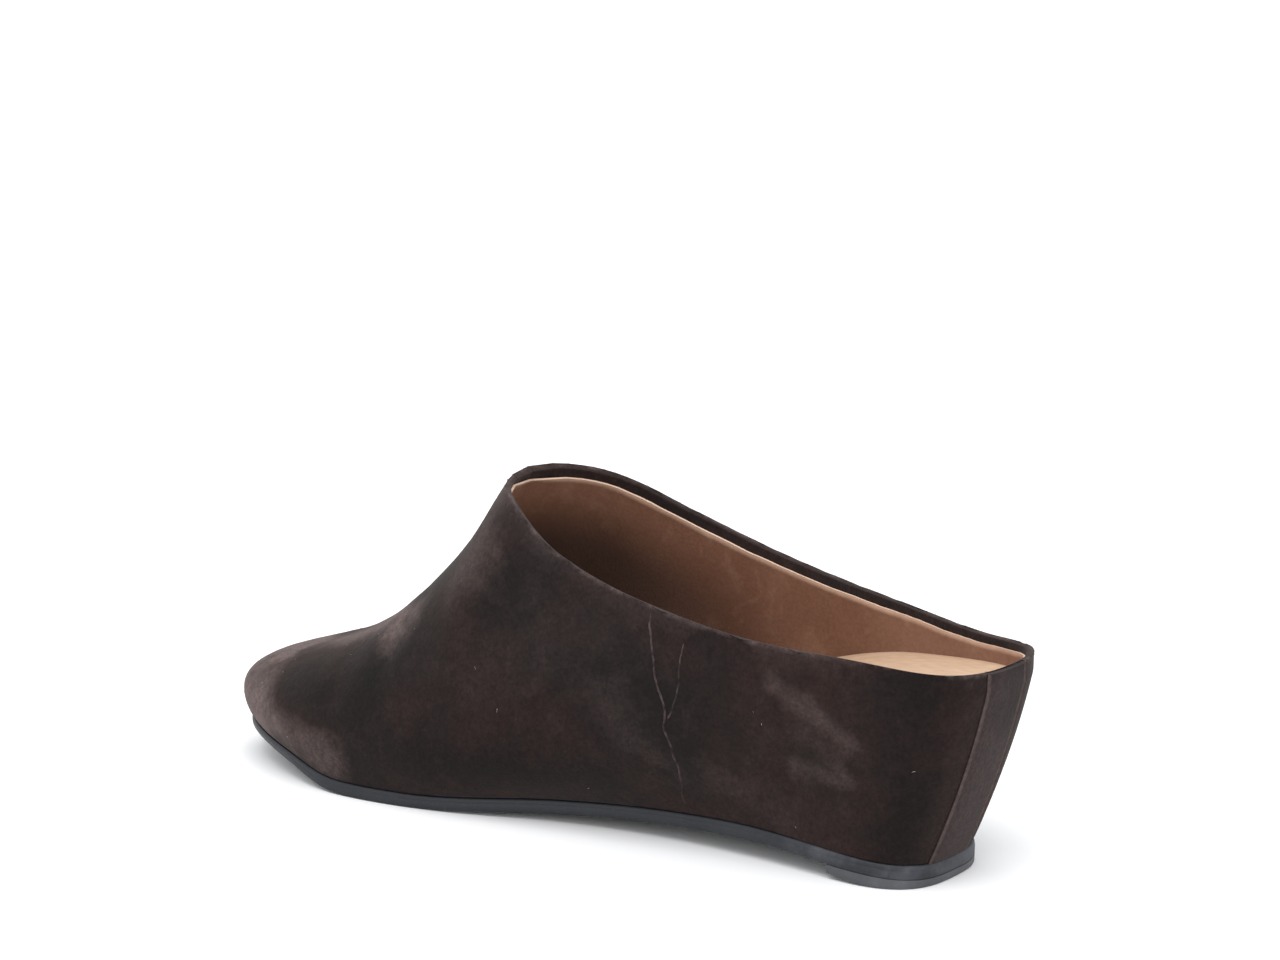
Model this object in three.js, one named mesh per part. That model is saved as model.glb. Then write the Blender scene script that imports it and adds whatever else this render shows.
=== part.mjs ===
// A backless wedge mule in suede, for the right foot, built up on a last as a shoemaker does.
// X runs from the heel to the toe, Y to the wearer's left, which is the inner side of a right shoe, and Z up.
// All sizes are in millimetres.
import * as THREE from "three";

// Driving sizes of the last
const shoeLength = 252; // back of the collar to the tip of the toe
const ballWidth = 88; // upper at its widest, across the ball
const instepHeight = 84; // throat above the footbed
const throatReach = 158; // back of the collar to the front of the opening
const backRound = 38; // length over which the back of the upper rounds off
const soleBackRound = 33; // the same at the foot of the wedge
const toeRound = 60; // length over which the toe narrows to its tip
const toeDrop = 44; // length over which the top of the toe comes down
const heelRake = 15; // how far the back leans forward from collar to sole
const toeOverhang = 1.2; // tip of the upper past the tip of its lower edge

// Driving sizes of the pieces
const wedgeHeight = 43; // wedge under the heel
const wedgeReach = 0.68; // front edge of the wedge, as a share of the shoe's length
const upperWall = 2.2; // suede with its leather lining
const strapWidth = 17; // strap over the back seam
const strapShift = 2.5; // middle of the strap past the middle of the back, towards the inner side
const strapThickness = 1.2;
const strapStand = 0.4; // how far the strap stands out of the upper
const insoleThickness = 3;
const insoleDish = 1.6; // hollow of the footbed along its middle
const fullDishWidth = 0.5; // width from which the footbed has its full hollow, as a share of the ball width
const outsoleThickness = 3.8;
const outsoleMargin = 0.6; // outsole past the upper's lower edge
const outsoleChamfer = 1;
const toeThinning = 2; // how much thinner the outsole is at its tip
const toeSpring = 9.4; // tip of the outsole above the floor
const liftThickness = 2; // heel lift under the outsole, at the back
const liftReach = 0.11; // front edge of the lift, as a share of the shoe's length
const liftFlat = 0.4; // flat part of the lift's underside, as a share of its length
const liftNoseRise = 1.6; // underside of the lift above the floor at its front edge
const liftInset = 0.5; // lift inside the outsole's edge
const clearance = 0.3; // gap between pieces that meet
const liningEase = 0.4; // gap between the lining and the edges of wedge and footbed

// How square the rounded ends are: 2 is an ellipse, and more is squarer
const backSquareness = 2.5;
const soleBackSquareness = 3;
const toeSquareness = 2.25;

// Fineness of the faceted solids
const strapSteps = 4;
const strapEdgeSteps = 2;
const openingSteps = 22;
const toeSteps = 18;
const ribSteps = 15;
const ribCrowding = 1.35; // more than 1 puts more of a rib's points near the sole
const acrossSteps = 6;

// The last, a row for each section from the heel to the toe. station is a share of the shoe's length.
// inner, outer, soleInner and soleOuter are half widths, as shares of the ball width: at the upper's widest level,
// and at its lower edge. belly and ridge are the heights of that widest level and of the last's top line above
// the footbed, as shares of the instep height. crown is the squareness of the arch over the foot, and swell the
// roundness of the wall under the widest level. wedge, lift and spring are shares of the wedge's height, of the
// heel lift and of the toe spring.
const lastSections = [
  { station: 0, inner: 0.345, outer: 0.388, soleInner: 0.275, soleOuter: 0.275, belly: 0.02, ridge: 1.08, crown: 2.2, swell: 0.35, wedge: 1.035, lift: 1, spring: 0 },
  { station: 0.1, inner: 0.305, outer: 0.345, soleInner: 0.25, soleOuter: 0.28, belly: -0.01, ridge: 1.1, crown: 2.2, swell: 0.4, wedge: 0.98, lift: 1.75, spring: 0 },
  { station: 0.22, inner: 0.325, outer: 0.38, soleInner: 0.23, soleOuter: 0.305, belly: -0.03, ridge: 1.125, crown: 2.2, swell: 0.4, wedge: 0.87, lift: 2.35, spring: 0 },
  { station: 0.35, inner: 0.355, outer: 0.435, soleInner: 0.238, soleOuter: 0.33, belly: -0.068, ridge: 1.185, crown: 2.1, swell: 0.5, wedge: 0.66, lift: 2, spring: 0 },
  { station: 0.48, inner: 0.405, outer: 0.485, soleInner: 0.3, soleOuter: 0.38, belly: -0.038, ridge: 1.21, crown: 1.95, swell: 0.7, wedge: 0.4, lift: 1.25, spring: 0 },
  { station: 0.6, inner: 0.47, outer: 0.485, soleInner: 0.41, soleOuter: 0.43, belly: 0.05, ridge: 1.06, crown: 1.82, swell: 0.9, wedge: 0.16, lift: 0.3, spring: 0 },
  { station: 0.66, inner: 0.49, outer: 0.48, soleInner: 0.45, soleOuter: 0.435, belly: 0.085, ridge: 0.833, crown: 1.85, swell: 1, wedge: 0.06, lift: 0, spring: 0 },
  { station: 0.72, inner: 0.5, outer: 0.475, soleInner: 0.475, soleOuter: 0.435, belly: 0.105, ridge: 0.652, crown: 1.9, swell: 1, wedge: 0, lift: 0, spring: 0 },
  { station: 0.78, inner: 0.505, outer: 0.455, soleInner: 0.48, soleOuter: 0.41, belly: 0.103, ridge: 0.487, crown: 2, swell: 1, wedge: 0, lift: 0, spring: 0.08 },
  { station: 0.86, inner: 0.505, outer: 0.405, soleInner: 0.458, soleOuter: 0.36, belly: 0.089, ridge: 0.322, crown: 2.1, swell: 1, wedge: 0, lift: 0, spring: 0.58 },
  { station: 1, inner: 0.47, outer: 0.27, soleInner: 0.4, soleOuter: 0.21, belly: 0.07, ridge: 0.22, crown: 2.2, swell: 1, wedge: 0, lift: 0, spring: 1 },
];

// The collar's edge, from the back to the throat. reach is a share of the throat's reach, and inner and outer are
// the heights of the edge above the footbed on the two sides, as shares of the throat's.
const collarSections = [
  { reach: 0, inner: 0.077, outer: 0.077 },
  { reach: 0.16, inner: 0.105, outer: 0.08 },
  { reach: 0.38, inner: 0.175, outer: 0.191 },
  { reach: 0.6, inner: 0.38, outer: 0.4 },
  { reach: 0.79, inner: 0.643, outer: 0.656 },
  { reach: 0.92, inner: 0.885, outer: 0.885 },
  { reach: 1, inner: 1, outer: 1 },
];

// Value of one column of a table at a place between its rows, on a smooth curve through them
function follow(table, key, column, place) {
  const last = table.length - 1;
  const slope = (row) => {
    const before = table[Math.max(row - 1, 0)];
    const after = table[Math.min(row + 1, last)];
    return (after[column] - before[column]) / (after[key] - before[key]);
  };
  let row = 0;
  while (row < last - 1 && place > table[row + 1][key]) row += 1;
  const span = table[row + 1][key] - table[row][key];
  const t = THREE.MathUtils.clamp((place - table[row][key]) / span, 0, 1);
  const start = (2 * t ** 3 - 3 * t ** 2 + 1) * table[row][column] + (t ** 3 - 2 * t ** 2 + t) * span * slope(row);
  const end = (3 * t ** 2 - 2 * t ** 3) * table[row + 1][column] + (t ** 3 - t ** 2) * span * slope(row + 1);
  return start + end;
}

const last = (column, station) => follow(lastSections, "station", column, station);

// Share of the full width or height that is left near a rounded end, where away is the distance from its tip
function roundedEnd(away, length, squareness) {
  const gone = THREE.MathUtils.clamp(1 - away / length, 0, 1);
  return (1 - gone ** squareness) ** (1 / squareness);
}

// Heights of the sole's and the footbed's surfaces along the shoe
const liftRise = (station) => Math.max(0, last("lift", station)) * (liftThickness + clearance);
const toeRise = (station) => Math.max(0, last("spring", station)) * toeSpring;
const outsoleFoot = (station) => liftRise(station) + toeRise(station);
const thinning = (station) => Math.max(0, last("spring", station)) * toeThinning;
const outsoleTop = (station) => outsoleFoot(station) + outsoleThickness - thinning(station);
const upperFoot = (station) => outsoleTop(station) + clearance;
const insoleFoot = (station) => upperFoot(station) + Math.max(0, last("wedge", station)) * wedgeHeight;
const footbed = (station) => insoleFoot(station) + insoleThickness;

// The upper's outline in plan at its widest level; side is 1 on the inner side and -1 on the outer side
function bellyPoint(side, station) {
  const x = shoeLength * station;
  const round = roundedEnd(x, backRound, backSquareness) * roundedEnd(shoeLength - x, toeRound, toeSquareness);
  const inner = last("inner", station) * ballWidth;
  const outer = last("outer", station) * ballWidth;
  return new THREE.Vector2(x, (inner - outer) / 2 + (side * round * (inner + outer)) / 2);
}

// The outline in plan of the upper's lower edge
function solePoint(side, station) {
  const soleLength = shoeLength - heelRake - toeOverhang;
  const x = soleLength * station;
  const back = roundedEnd(x, soleBackRound, soleBackSquareness);
  const round = back * roundedEnd(soleLength - x, toeRound, toeSquareness);
  const inner = last("soleInner", station) * ballWidth;
  const outer = last("soleOuter", station) * ballWidth;
  return new THREE.Vector2(heelRake + x, (inner - outer) / 2 + (side * round * (inner + outer)) / 2);
}

// A point outside the sole's outline by the given margin, or inside it where the margin is negative
function soleEdge(side, station, margin) {
  const step = 0.0005;
  const point = solePoint(side, station);
  if (station === 0) return point.add(new THREE.Vector2(-margin, 0));
  if (station === 1) return point.add(new THREE.Vector2(margin, 0));
  const before = solePoint(side, Math.max(station - step, 0));
  const after = solePoint(side, Math.min(station + step, 1));
  const along = after.sub(before).normalize();
  return point.add(new THREE.Vector2(-along.y, along.x).multiplyScalar(side * margin));
}

const throatStation = throatReach / shoeLength;
const throatRise = last("ridge", throatStation) * instepHeight;

// One rib of the upper's outer face, from its lower edge to the collar or, in front of the throat, to the ridge
function rib(side, station) {
  const wallPoints = 14;
  const archPoints = 40;
  const belly = bellyPoint(side, station);
  const sole = solePoint(side, station);
  const middle = (bellyPoint(1, station).y + bellyPoint(-1, station).y) / 2;
  const foot = upperFoot(station);
  const bellyHeight = footbed(station) + last("belly", station) * instepHeight;
  const toeFall = roundedEnd(shoeLength * (1 - station), toeDrop, toeSquareness);
  const ridgeRise = (last("ridge", station) - last("belly", station)) * instepHeight * toeFall;
  const swell = last("swell", station);
  const crown = last("crown", station);
  const points = [];
  for (let i = 0; i <= wallPoints; i += 1) {
    const t = i / wallPoints;
    const plan = sole.clone().lerp(belly, t + swell * t * (1 - t));
    points.push(new THREE.Vector3(plan.x, plan.y, foot + (bellyHeight - foot) * t));
  }
  let topAngle = Math.PI / 2;
  if (station < throatStation) {
    const collar = follow(collarSections, "reach", side > 0 ? "inner" : "outer", station / throatStation) * throatRise;
    const share = (footbed(station) + collar - bellyHeight) / ridgeRise;
    topAngle = Math.asin(THREE.MathUtils.clamp(share, 0, 1) ** (crown / 2));
  }
  for (let i = 1; i <= archPoints; i += 1) {
    const angle = (topAngle * i) / archPoints;
    const width = Math.max(0, Math.cos(angle)) ** (2 / crown);
    const height = Math.sin(angle) ** (2 / crown);
    const z = bellyHeight + ridgeRise * height;
    points.push(new THREE.Vector3(belly.x, middle + (belly.y - middle) * width, z));
  }
  return respaced(points, ribSteps);
}

// The same line with new points, closer together towards its lower end, where the wall turns under the foot
function respaced(points, steps) {
  const lengths = [0];
  for (let i = 1; i < points.length; i += 1) lengths.push(lengths[i - 1] + points[i].distanceTo(points[i - 1]));
  const total = lengths[lengths.length - 1];
  const spaced = [];
  let from = 0;
  for (let i = 0; i <= steps; i += 1) {
    const reach = total * (i / steps) ** ribCrowding;
    while (from < points.length - 2 && lengths[from + 1] < reach) from += 1;
    const t = (reach - lengths[from]) / (lengths[from + 1] - lengths[from]);
    spaced.push(points[from].clone().lerp(points[from + 1], t));
  }
  return spaced;
}

// Station at which the belly's outline is the given distance from the middle of the back
function stationFromBack(distance) {
  const steps = 4000;
  let station = 0;
  let reached = 0;
  let point = bellyPoint(1, 0);
  while (reached < distance) {
    station += 1 / steps / 4;
    const next = bellyPoint(1, station);
    reached += next.distanceTo(point);
    point = next;
  }
  return station;
}

// Stations are spaced on a half circle, closer together at the rounded ends
const toTurn = (station) => Math.acos(1 - 2 * station) / Math.PI;
const fromTurn = (turn) => (1 - Math.cos(Math.PI * turn)) / 2;
function stationsBetween(start, end, steps, crowding) {
  const found = [];
  for (let i = 0; i <= steps; i += 1) {
    const t = 1 - (1 - i / steps) ** crowding;
    found.push(fromTurn(THREE.MathUtils.lerp(toTurn(start), toTurn(end), t)));
  }
  found[0] = start;
  found[steps] = end;
  return found;
}

// Station at which the strap ends on one side, or its seat where an ease is given
const strapEnd = (side, ease) => stationFromBack(strapWidth / 2 + side * strapShift + ease);
const seatStation = { inner: strapEnd(1, clearance), outer: strapEnd(-1, clearance) };
const stations = [
  ...stationsBetween(0, seatStation.outer, strapSteps, 1),
  ...stationsBetween(seatStation.outer, seatStation.inner, strapEdgeSteps, 1).slice(1),
  ...stationsBetween(seatStation.inner, throatStation, openingSteps, 1.7).slice(1),
  ...stationsBetween(throatStation, 1, toeSteps, 1).slice(1),
];

// All ribs in a ring: up the inner side from the back to the toe, and down the outer side to the back
function ringOfRibs(list) {
  const inner = list.map((station) => ({ side: 1, station, points: rib(1, station) }));
  const outer = list.slice(1, -1).map((station) => ({ side: -1, station, points: rib(-1, station) }));
  return [...inner, ...outer.reverse()];
}

// The direction out of the surface at each point of a ring of ribs. Where two ribs meet on the ridge, both take
// the direction square to the ridge's own line.
function outwardNormals(ring) {
  const count = ring.length;
  return ring.map((one, r) => {
    const meets = one.station >= throatStation && one.station < 1;
    const mirror = ring[(count - r) % count].points;
    return one.points.map((point, j) => {
      let along = ring[(r + 1) % count].points[j].clone().sub(ring[(r + count - 1) % count].points[j]);
      let up = one.points[Math.min(j + 1, ribSteps)].clone().sub(one.points[Math.max(j - 1, 0)]);
      if (meets && j === ribSteps) {
        along = ring[r + one.side].points[j].clone().sub(point);
        up = mirror[j - 1].clone().sub(one.points[j - 1]).multiplyScalar(one.side);
      }
      return up.cross(along).normalize();
    });
  });
}

const ring = ringOfRibs(stations);
const normals = outwardNormals(ring);

// The upper's ribs at a depth below its outer face. The lower end keeps its height.
function ribsAtDepth(depth) {
  return ring.map((one, r) =>
    one.points.map((point, j) => {
      const normal = normals[r][j].clone();
      if (j === 0) normal.setZ(0).normalize();
      return point.clone().addScaledVector(normal, -depth);
    }),
  );
}

// Point of a rib at a height, and on its first stretch's line below its lower end
function atHeight(points, height) {
  let i = 0;
  while (i < points.length - 2 && points[i + 1].z < height) i += 1;
  const t = (height - points[i].z) / (points[i + 1].z - points[i].z);
  return points[i].clone().lerp(points[i + 1], t);
}

// Gathers triangles into one closed mesh: equal points are shared, and triangles without area are left out
class Shell {
  constructor() {
    this.index = new Map();
    this.positions = [];
    this.triangles = [];
  }

  vertex(point) {
    const key = [point.x, point.y, point.z].map((value) => Math.round(value * 1000)).join();
    if (!this.index.has(key)) {
      this.index.set(key, this.index.size);
      this.positions.push(point.x, point.y, point.z);
    }
    return this.index.get(key);
  }

  triangle(a, b, c) {
    const corners = [a, b, c].map((point) => this.vertex(point));
    if (new Set(corners).size === 3) this.triangles.push(...corners);
  }

  quad(a, b, c, d) {
    this.triangle(a, b, c);
    this.triangle(a, c, d);
  }

  // Skin between two lines of points
  strip(first, second) {
    for (let i = 0; i < first.length - 1; i += 1) this.quad(first[i], second[i], second[i + 1], first[i + 1]);
  }

  geometry() {
    const made = new THREE.BufferGeometry();
    made.setAttribute("position", new THREE.Float32BufferAttribute(this.positions, 3));
    made.setIndex(this.triangles);
    made.computeVertexNormals();
    return made;
  }
}

// A block bent to shape: place(i, k, l) gives its points along, across and up
function bentBlock(along, across, levels, place) {
  const shell = new Shell();
  const line = (count, at) => Array.from({ length: count + 1 }, (_, n) => at(n));
  for (let i = 0; i < along; i += 1) {
    shell.strip(line(levels, (l) => place(i + 1, 0, l)), line(levels, (l) => place(i, 0, l)));
    shell.strip(line(levels, (l) => place(i, across, l)), line(levels, (l) => place(i + 1, across, l)));
    shell.strip(line(across, (k) => place(i + 1, k, levels)), line(across, (k) => place(i, k, levels)));
    shell.strip(line(across, (k) => place(i, k, 0)), line(across, (k) => place(i + 1, k, 0)));
  }
  for (let l = 0; l < levels; l += 1) {
    shell.strip(line(across, (k) => place(0, k, l + 1)), line(across, (k) => place(0, k, l)));
    shell.strip(line(across, (k) => place(along, k, l)), line(across, (k) => place(along, k, l + 1)));
  }
  return shell.geometry();
}

// The hollow upper: its outer face with the strap's seat, its lining face, and the rims of collar and foot
function upperGeometry() {
  const outerFace = ribsAtDepth(0);
  const liningFace = ribsAtDepth(upperWall);
  const seatFace = ribsAtDepth(strapThickness - strapStand + clearance);
  const columns = [];
  ring.forEach((one, r) => {
    const open = one.station <= throatStation;
    const flush = { outside: outerFace[r], inside: liningFace[r], open };
    const sunk = { outside: seatFace[r], inside: liningFace[r], open };
    const seatEnd = one.side > 0 ? seatStation.inner : seatStation.outer;
    if (one.station > seatEnd) columns.push(flush);
    else if (one.station < seatEnd) columns.push(sunk);
    else columns.push(...(one.side > 0 ? [sunk, flush] : [flush, sunk]));
  });
  const shell = new Shell();
  columns.forEach((column, c) => {
    const next = columns[(c + 1) % columns.length];
    shell.strip(next.outside, column.outside);
    shell.strip(column.inside, next.inside);
    shell.quad(column.outside[0], next.outside[0], next.inside[0], column.inside[0]);
    if (column.open && next.open) {
      const top = ribSteps;
      shell.quad(column.inside[top], next.inside[top], next.outside[top], column.outside[top]);
    }
  });
  return shell.geometry();
}

// The strap over the back seam, in its seat in the upper's wall
function strapGeometry() {
  const outerHalf = stationsBetween(0, strapEnd(-1, 0), strapSteps, 1).slice(1).reverse();
  const innerHalf = stationsBetween(0, strapEnd(1, 0), strapSteps, 1);
  const list = [...outerHalf.map((station) => [-1, station]), ...innerHalf.map((station) => [1, station])];
  const steps = list.length - 1;
  const nearby = list.map(([side, station]) => rib(side, station));
  const place = (i, k, l) => {
    const along = nearby[Math.min(i + 1, steps)][k].clone().sub(nearby[Math.max(i - 1, 0)][k]);
    const up = nearby[i][Math.min(k + 1, ribSteps)].clone().sub(nearby[i][Math.max(k - 1, 0)]);
    const normal = up.cross(along).normalize();
    if (k === 0) normal.setZ(0).normalize();
    const depth = l === 0 ? strapThickness - strapStand : -strapStand;
    return nearby[i][k].clone().addScaledVector(normal, -depth);
  };
  return bentBlock(steps, ribSteps, 1, place);
}

// Lines inside the upper on which the edges of wedge and insole lie
const innerLines = ribsAtDepth(upperWall + liningEase);
const innerLine = (side, i) => innerLines[side > 0 ? i : (ring.length - i) % ring.length];
const acrossShare = (k) => 1 - (2 * k) / acrossSteps;

// A point between the two walls at a station, hollowed towards the middle by the dish, which runs out where the
// footbed is narrow
function between(i, k, height, dish) {
  const share = acrossShare(k);
  const inner = atHeight(innerLine(1, i), height);
  const outer = atHeight(innerLine(-1, i), height);
  const breadth = Math.min(1, inner.distanceTo(outer) / (fullDishWidth * ballWidth));
  const point = outer.lerp(inner, (1 + share) / 2);
  point.z -= dish * breadth * (1 - share ** 2);
  return point;
}

// The footbed is hollowed only where the wedge carries it
const dishAt = (station) => insoleDish * Math.min(1, Math.max(0, last("wedge", station)) * 2);

function wedgeGeometry() {
  const used = stations.filter((station) => station <= wedgeReach);
  const levels = 6;
  return bentBlock(used.length - 1, acrossSteps, levels, (i, k, l) => {
    const foot = upperFoot(used[i]);
    const top = insoleFoot(used[i]) - clearance;
    return between(i, k, foot + ((top - foot) * l) / levels, (dishAt(used[i]) * l) / levels);
  });
}

function insoleGeometry() {
  return bentBlock(stations.length - 1, acrossSteps, 2, (i, k, l) => {
    const station = stations[i];
    const height = insoleFoot(station) + (insoleThickness * l) / 2;
    return between(i, k, height, dishAt(station));
  });
}

// A point across the sole at a station, on the line between its two edges
function soleAcross(station, k, margin, height) {
  const inner = soleEdge(1, station, margin);
  const outer = soleEdge(-1, station, margin);
  const plan = outer.lerp(inner, (1 + acrossShare(k)) / 2);
  return new THREE.Vector3(plan.x, plan.y, height);
}

function outsoleGeometry() {
  return bentBlock(stations.length - 1, acrossSteps, 2, (i, k, l) => {
    const station = stations[i];
    const margin = l === 0 ? outsoleMargin - outsoleChamfer : outsoleMargin;
    const foot = outsoleFoot(station);
    return soleAcross(station, k, margin, [foot, foot + outsoleChamfer, outsoleTop(station)][l]);
  });
}

// The lift's underside is flat at the back and rises towards its front edge
function liftFoot(station) {
  const past = THREE.MathUtils.clamp((station / liftReach - liftFlat) / (1 - liftFlat), 0, 1);
  return liftNoseRise * past ** 2;
}

function liftGeometry() {
  const used = [...stations.filter((station) => station < liftReach), liftReach];
  return bentBlock(used.length - 1, acrossSteps, 1, (i, k, l) => {
    const height = l === 0 ? liftFoot(used[i]) : outsoleFoot(used[i]) - clearance;
    return soleAcross(used[i], k, outsoleMargin - liftInset, height);
  });
}

// Finishes of the pieces
const suede = new THREE.MeshStandardMaterial({ color: 0x3a2c27, roughness: 0.95, metalness: 0 });
const tanLeather = new THREE.MeshStandardMaterial({ color: 0xc9966f, roughness: 0.6, metalness: 0 });
const cork = new THREE.MeshStandardMaterial({ color: 0xb08a5e, roughness: 0.9, metalness: 0 });
const blackRubber = new THREE.MeshStandardMaterial({ color: 0x26272b, roughness: 0.7, metalness: 0 });

const mule = new THREE.Group();
function piece(name, geometry, material) {
  const mesh = new THREE.Mesh(geometry, material);
  mesh.name = name;
  mule.add(mesh);
}
piece("upper", upperGeometry(), suede);
piece("back_strap", strapGeometry(), suede);
piece("wedge", wedgeGeometry(), cork);
piece("insole", insoleGeometry(), tanLeather);
piece("outsole", outsoleGeometry(), blackRubber);
piece("heel_lift", liftGeometry(), blackRubber);

// The origin is on the floor, under the middle of the shoe
const extent = new THREE.Box3().setFromObject(mule);
const centre = extent.getCenter(new THREE.Vector3());
mule.position.set(-centre.x, -centre.y, 0);

export default mule;
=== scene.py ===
# %% [markdown]
# # A suede wedge mule
#
# This lesson dresses one backless shoe: the right mule of a pair, in dark brown suede over a covered wedge, with a
# tan leather lining and footbed and a flat black rubber sole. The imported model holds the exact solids. Here each of
# them gets the surface that a maker would give it, built again from the same last.

# %% Load the frame
import math
import random

import bmesh
import bpy
from mathutils import Matrix, Quaternion, Vector, noise
from mathutils.bvhtree import BVHTree
from mathutils.kdtree import KDTree


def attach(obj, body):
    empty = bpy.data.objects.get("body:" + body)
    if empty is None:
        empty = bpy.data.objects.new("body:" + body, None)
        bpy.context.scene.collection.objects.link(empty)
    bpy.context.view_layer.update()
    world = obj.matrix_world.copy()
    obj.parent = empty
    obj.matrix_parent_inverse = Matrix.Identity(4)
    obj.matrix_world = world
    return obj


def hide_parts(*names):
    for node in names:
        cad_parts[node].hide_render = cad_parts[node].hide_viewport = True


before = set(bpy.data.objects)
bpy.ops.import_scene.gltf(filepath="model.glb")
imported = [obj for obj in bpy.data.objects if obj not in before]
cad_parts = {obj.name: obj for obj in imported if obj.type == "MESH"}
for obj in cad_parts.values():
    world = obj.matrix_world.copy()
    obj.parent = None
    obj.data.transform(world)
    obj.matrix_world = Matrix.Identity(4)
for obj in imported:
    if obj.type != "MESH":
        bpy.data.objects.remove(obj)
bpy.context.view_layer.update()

MM = 0.001
print("nodes:", sorted(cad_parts))

# %% [markdown]
# ## Camera
#
# The camera stands behind the shoe on its inner side, a little under a metre away and 15 degrees above the floor.
# A long lens keeps the shape calm, as in a catalogue picture. The shift puts the shoe low in the frame without
# tilting the view. The camera could be placed by eye, but measured angles keep every later change comparable.

# %% Camera
IMAGE_WIDTH = 1280
CAMERA_AZIMUTH = math.radians(216.1)
CAMERA_ELEVATION = math.radians(14.7)
CAMERA_DISTANCE = 0.964
CAMERA_ROLL = math.radians(0.44)
FOCAL_PIXELS = 3412
AIM = Vector((0.0002, -0.0007, 0.04))

away = Vector((math.sin(CAMERA_AZIMUTH) * math.cos(CAMERA_ELEVATION),
               -math.cos(CAMERA_AZIMUTH) * math.cos(CAMERA_ELEVATION),
               math.sin(CAMERA_ELEVATION)))
camera_data = bpy.data.cameras.new("camera")
camera_data.sensor_width = 36
camera_data.lens = FOCAL_PIXELS * 36 / IMAGE_WIDTH
camera_data.shift_x = 0.0169
camera_data.shift_y = 0.1463
camera_data.clip_start = 0.05
camera_data.clip_end = 20
camera = bpy.data.objects.new("camera", camera_data)
bpy.context.collection.objects.link(camera)
camera.rotation_mode = "QUATERNION"
camera.location = AIM + away * CAMERA_DISTANCE
camera.rotation_quaternion = (-away).to_track_quat("-Z", "Y") @ Quaternion((0, 0, 1), CAMERA_ROLL)
bpy.context.scene.camera = camera
print("camera at", [round(value, 3) for value in camera.location])

# %% [markdown]
# ## The last
#
# A shoemaker builds a shoe on a last, a block shaped like the foot. All the surfaces here are worked out from one
# last, so that suede, lining, footbed and sole fit each other by themselves. Sizes are in millimetres, X runs from
# the back of the heel to the tip of the toe, and the table holds shares of the named sizes. The surfaces could be
# pushed into shape one by one, but then every change would open a gap somewhere.

# %% Sizes of the last
SHOE_LENGTH = 252
BALL_WIDTH = 88
INSTEP_HEIGHT = 84
THROAT_REACH = 158
BACK_ROUND = 38
SOLE_BACK_ROUND = 33
TOE_ROUND = 60
TOE_DROP = 44
HEEL_RAKE = 15
TOE_OVERHANG = 1.2
BACK_SQUARENESS = 2.5
SOLE_BACK_SQUARENESS = 3
TOE_SQUARENESS = 2.25

WEDGE_HEIGHT = 43
STRAP_WIDTH = 17
STRAP_SHIFT = 2.5
STRAP_THICKNESS = 1.2
STRAP_STAND = 0.4
INSOLE_THICKNESS = 3
INSOLE_DISH = 1.6
FULL_DISH_WIDTH = 0.5
OUTSOLE_THICKNESS = 3.8
TOE_THINNING = 2
TOE_SPRING = 9.4
LIFT_THICKNESS = 2
LIFT_REACH = 0.11
LIFT_FLAT = 0.4
LIFT_NOSE_RISE = 1.6
CLEARANCE = 0.3

# The middle of the shoe, which is the origin of the frame
MIDDLE = Vector((125.8, 0.677, 0))

COLUMNS = ("station", "inner", "outer", "sole_inner", "sole_outer", "belly", "ridge", "crown", "swell", "wedge",
           "lift", "spring")
SECTIONS = [dict(zip(COLUMNS, row)) for row in (
    (0, 0.345, 0.388, 0.275, 0.275, 0.02, 1.08, 2.2, 0.35, 1.035, 1, 0),
    (0.1, 0.305, 0.345, 0.25, 0.28, -0.01, 1.1, 2.2, 0.4, 0.98, 1.75, 0),
    (0.22, 0.325, 0.38, 0.23, 0.305, -0.03, 1.125, 2.2, 0.4, 0.87, 2.35, 0),
    (0.35, 0.355, 0.435, 0.238, 0.33, -0.068, 1.185, 2.1, 0.5, 0.66, 2, 0),
    (0.48, 0.405, 0.485, 0.3, 0.38, -0.038, 1.21, 1.95, 0.7, 0.4, 1.25, 0),
    (0.6, 0.47, 0.485, 0.41, 0.43, 0.05, 1.06, 1.82, 0.9, 0.16, 0.3, 0),
    (0.66, 0.49, 0.48, 0.45, 0.435, 0.085, 0.833, 1.85, 1, 0.06, 0, 0),
    (0.72, 0.5, 0.475, 0.475, 0.435, 0.105, 0.652, 1.9, 1, 0, 0, 0),
    (0.78, 0.505, 0.455, 0.48, 0.41, 0.103, 0.487, 2, 1, 0, 0, 0.08),
    (0.86, 0.505, 0.405, 0.458, 0.36, 0.089, 0.322, 2.1, 1, 0, 0, 0.58),
    (1, 0.47, 0.27, 0.4, 0.21, 0.07, 0.22, 2.2, 1, 0, 0, 1),
)]
COLLAR = [dict(zip(("reach", "inner", "outer"), row)) for row in (
    (0, 0.077, 0.077), (0.16, 0.105, 0.08), (0.38, 0.175, 0.191), (0.6, 0.38, 0.4), (0.79, 0.643, 0.656),
    (0.92, 0.885, 0.885), (1, 1, 1),
)]


def follow(rows, key, column, place):
    """Value of a column at a place between the rows, on a smooth curve through them."""
    final = len(rows) - 1

    def slope(row):
        before, after = rows[max(row - 1, 0)], rows[min(row + 1, final)]
        return (after[column] - before[column]) / (after[key] - before[key])

    row = 0
    while row < final - 1 and place > rows[row + 1][key]:
        row += 1
    span = rows[row + 1][key] - rows[row][key]
    t = min(max((place - rows[row][key]) / span, 0), 1)
    start = (2 * t**3 - 3 * t**2 + 1) * rows[row][column] + (t**3 - 2 * t**2 + t) * span * slope(row)
    return start + (3 * t**2 - 2 * t**3) * rows[row + 1][column] + (t**3 - t**2) * span * slope(row + 1)


def last(column, station):
    return follow(SECTIONS, "station", column, station)


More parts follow.
